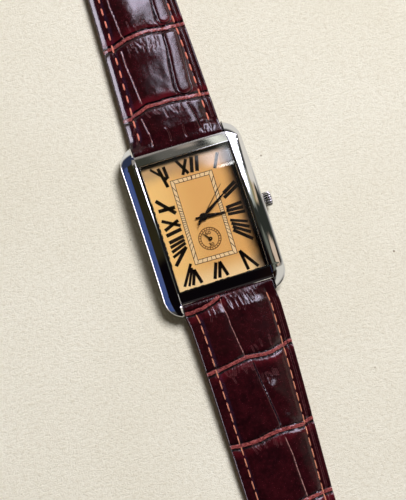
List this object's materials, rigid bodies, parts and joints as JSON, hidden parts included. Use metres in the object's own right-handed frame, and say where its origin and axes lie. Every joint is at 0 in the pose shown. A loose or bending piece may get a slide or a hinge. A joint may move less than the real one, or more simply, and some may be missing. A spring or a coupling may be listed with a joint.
{
  "type": "rectangular wristwatch",
  "caption": "Rectangular quartz wristwatch with polished case, curved crystal, Roman dial and padded leather strap with pin buckle.",
  "frame": {"origin": "centre of the case back's flat outer face", "axes": "+Z out of the dial, +Y to 12 o'clock along the strap, +X to the crown"},
  "size_m": [0.0313, 0.2392, 0.0075],
  "materials": {
    "polished_steel": "mirror polish",
    "brushed_back": "brushed",
    "crystal_glass": "clear, polished",
    "black_rubber": "matt",
    "dial_salmon": "satin, printed",
    "hand_black": "gloss",
    "spacer_plastic": "matt",
    "movement_brass": "satin",
    "movement_steel": "satin",
    "coil_copper": "enamelled wire",
    "board_green": "gloss",
    "chip_black": "matt",
    "strap_leather": "embossed, glossy",
    "strap_lining": "matt",
    "strap_padding": "felt"
  },
  "bodies": {
    "case": {"case_middle": "polished_steel", "crystal": "crystal_glass", "crystal_gasket": "black_rubber", "dial": "dial_salmon", "movement_ring": "spacer_plastic", "case_back": "brushed_back", "case_back_seal": "black_rubber", "case_back_screws": "brushed_back", "crown_tube": "brushed_back", "setting_lever_screw": "movement_steel", "main_plate": "movement_brass", "train_bridge": "movement_brass", "movement_screws": "movement_steel", "stator": "movement_steel", "coil_core": "movement_steel", "coil_winding": "coil_copper", "battery": "movement_steel", "battery_clamp": "movement_steel", "circuit_board": "board_green", "control_chip": "chip_black", "quartz_can": "movement_steel", "spring_bar_barrels": "brushed_back"},
    "crown_seal": {"crown_gasket": "black_rubber"},
    "crown_and_stem": {"crown": "polished_steel", "winding_stem": "brushed_back"},
    "lever": {"setting_lever": "movement_steel"},
    "seconds_train": {"seconds_wheel": "movement_brass", "seconds_hand": "hand_black"},
    "third_train": {"third_wheel": "movement_brass"},
    "minute_train": {"centre_wheel": "movement_brass", "minute_hand": "hand_black"},
    "motion_train": {"minute_wheel": "movement_brass"},
    "hour_train": {"hour_wheel": "movement_brass", "hour_hand": "hand_black"},
    "intermediate_train": {"intermediate_wheel": "movement_brass"},
    "rotor_train": {"rotor": "movement_steel"},
    "small_seconds_train": {"small_seconds_pinion": "movement_brass", "small_seconds_hand": "hand_black"},
    "strap_12": {"strap_12_top": "strap_leather", "strap_12_filler": "strap_padding", "strap_12_lining": "strap_lining", "fixed_keeper": "strap_leather", "buckle_bar_barrel": "brushed_back"},
    "strap_6": {"strap_6_top": "strap_leather", "strap_6_filler": "strap_padding", "strap_6_lining": "strap_lining"},
    "loose_keeper": {"sliding_keeper": "strap_leather"},
    "buckle": {"buckle_frame": "polished_steel"},
    "tongue": {"buckle_tongue": "polished_steel"},
    "tip_12_left": {"bar_tip_12_left": "brushed_back"},
    "tip_12_right": {"bar_tip_12_right": "brushed_back"},
    "tip_6_left": {"bar_tip_6_left": "brushed_back"},
    "tip_6_right": {"bar_tip_6_right": "brushed_back"},
    "buckle_tip_left": {"buckle_bar_tip_left": "brushed_back"},
    "buckle_tip_right": {"buckle_bar_tip_right": "brushed_back"}
  },
  "joints": [
    {"name": "strap_12_hinge", "type": "hinge", "parent": "case", "child": "strap_12", "pos_m": [0, 0.01885, 0.00265], "axis": [1, 0, 0], "range_deg": [-75, 20]},
    {"name": "strap_6_hinge", "type": "hinge", "parent": "case", "child": "strap_6", "pos_m": [0, -0.01885, 0.00265], "axis": [-1, 0, 0], "range_deg": [-75, 20]},
    {"name": "loose_keeper_slide", "type": "slide", "parent": "strap_12", "child": "loose_keeper", "axis": [0, 1, 0], "range_m": [0, 0.009]},
    {"name": "buckle_hinge", "type": "hinge", "parent": "strap_12", "child": "buckle", "pos_m": [0, 0.09385, 0.00265], "axis": [1, 0, 0], "range_deg": [-35, 30]},
    {"name": "tongue_hinge", "type": "hinge", "parent": "buckle", "child": "tongue", "pos_m": [0, 0.09385, 0.00265], "axis": [1, 0, 0], "range_deg": [0, 95]},
    {"name": "crown_pull", "type": "slide", "parent": "case", "child": "crown_seal", "axis": [1, 0, 0], "range_m": [0, 0.0009]},
    {"name": "crown_turn", "type": "hinge", "parent": "crown_seal", "child": "crown_and_stem", "pos_m": [0.0155, 0, 0.00295], "axis": [1, 0, 0], "continuous": true},
    {"name": "lever_swing", "type": "hinge", "parent": "case", "child": "lever", "pos_m": [0.0061, -0.00175, 0.0022], "axis": [0, 0, 1], "range_deg": [-36, 0]},
    {"name": "seconds_spin", "type": "hinge", "parent": "case", "child": "seconds_train", "pos_m": [0, 0, 0.003], "axis": [0, 0, 1], "continuous": true},
    {"name": "third_spin", "type": "hinge", "parent": "case", "child": "third_train", "pos_m": [0.00219, -0.0026, 0.003], "axis": [0, 0, 1], "continuous": true},
    {"name": "minute_spin", "type": "hinge", "parent": "case", "child": "minute_train", "pos_m": [0, 0, 0.003], "axis": [0, 0, 1], "continuous": true},
    {"name": "motion_spin", "type": "hinge", "parent": "case", "child": "motion_train", "pos_m": [-0.00124, 0.00177, 0.003], "axis": [0, 0, 1], "continuous": true},
    {"name": "hour_spin", "type": "hinge", "parent": "case", "child": "hour_train", "pos_m": [0, 0, 0.003], "axis": [0, 0, 1], "continuous": true},
    {"name": "intermediate_spin", "type": "hinge", "parent": "case", "child": "intermediate_train", "pos_m": [-0.00329, -0.0012, 0.003], "axis": [0, 0, 1], "continuous": true},
    {"name": "rotor_spin", "type": "hinge", "parent": "case", "child": "rotor_train", "pos_m": [-0.00481, -0.00175, 0.003], "axis": [0, 0, 1], "continuous": true},
    {"name": "small_seconds_spin", "type": "hinge", "parent": "case", "child": "small_seconds_train", "pos_m": [0, -0.0052, 0.003], "axis": [0, 0, 1], "continuous": true},
    {"name": "tip_12_left_press", "type": "slide", "parent": "case", "child": "tip_12_left", "axis": [1, 0, 0], "range_m": [0, 0.0009], "stiffness_N_per_m": 300},
    {"name": "tip_12_right_press", "type": "slide", "parent": "case", "child": "tip_12_right", "axis": [-1, 0, 0], "range_m": [0, 0.0009], "stiffness_N_per_m": 300},
    {"name": "tip_6_left_press", "type": "slide", "parent": "case", "child": "tip_6_left", "axis": [1, 0, 0], "range_m": [0, 0.0009], "stiffness_N_per_m": 300},
    {"name": "tip_6_right_press", "type": "slide", "parent": "case", "child": "tip_6_right", "axis": [-1, 0, 0], "range_m": [0, 0.0009], "stiffness_N_per_m": 300},
    {"name": "buckle_tip_left_press", "type": "slide", "parent": "strap_12", "child": "buckle_tip_left", "axis": [1, 0, 0], "range_m": [0, 0.0009], "stiffness_N_per_m": 300},
    {"name": "buckle_tip_right_press", "type": "slide", "parent": "strap_12", "child": "buckle_tip_right", "axis": [-1, 0, 0], "range_m": [0, 0.0009], "stiffness_N_per_m": 300}
  ],
  "couplings": [
    {"joint": "third_spin", "follows": "seconds_spin", "ratio": -0.125},
    {"joint": "minute_spin", "follows": "seconds_spin", "ratio": 0.016667},
    {"joint": "motion_spin", "follows": "seconds_spin", "ratio": -0.0055556},
    {"joint": "hour_spin", "follows": "seconds_spin", "ratio": 0.0013889},
    {"joint": "intermediate_spin", "follows": "seconds_spin", "ratio": -6},
    {"joint": "rotor_spin", "follows": "seconds_spin", "ratio": 30},
    {"joint": "small_seconds_spin", "follows": "seconds_spin", "ratio": 1},
    {"joint": "lever_swing", "follows": "crown_pull", "rad_per_m": -678.74}
  ]
}
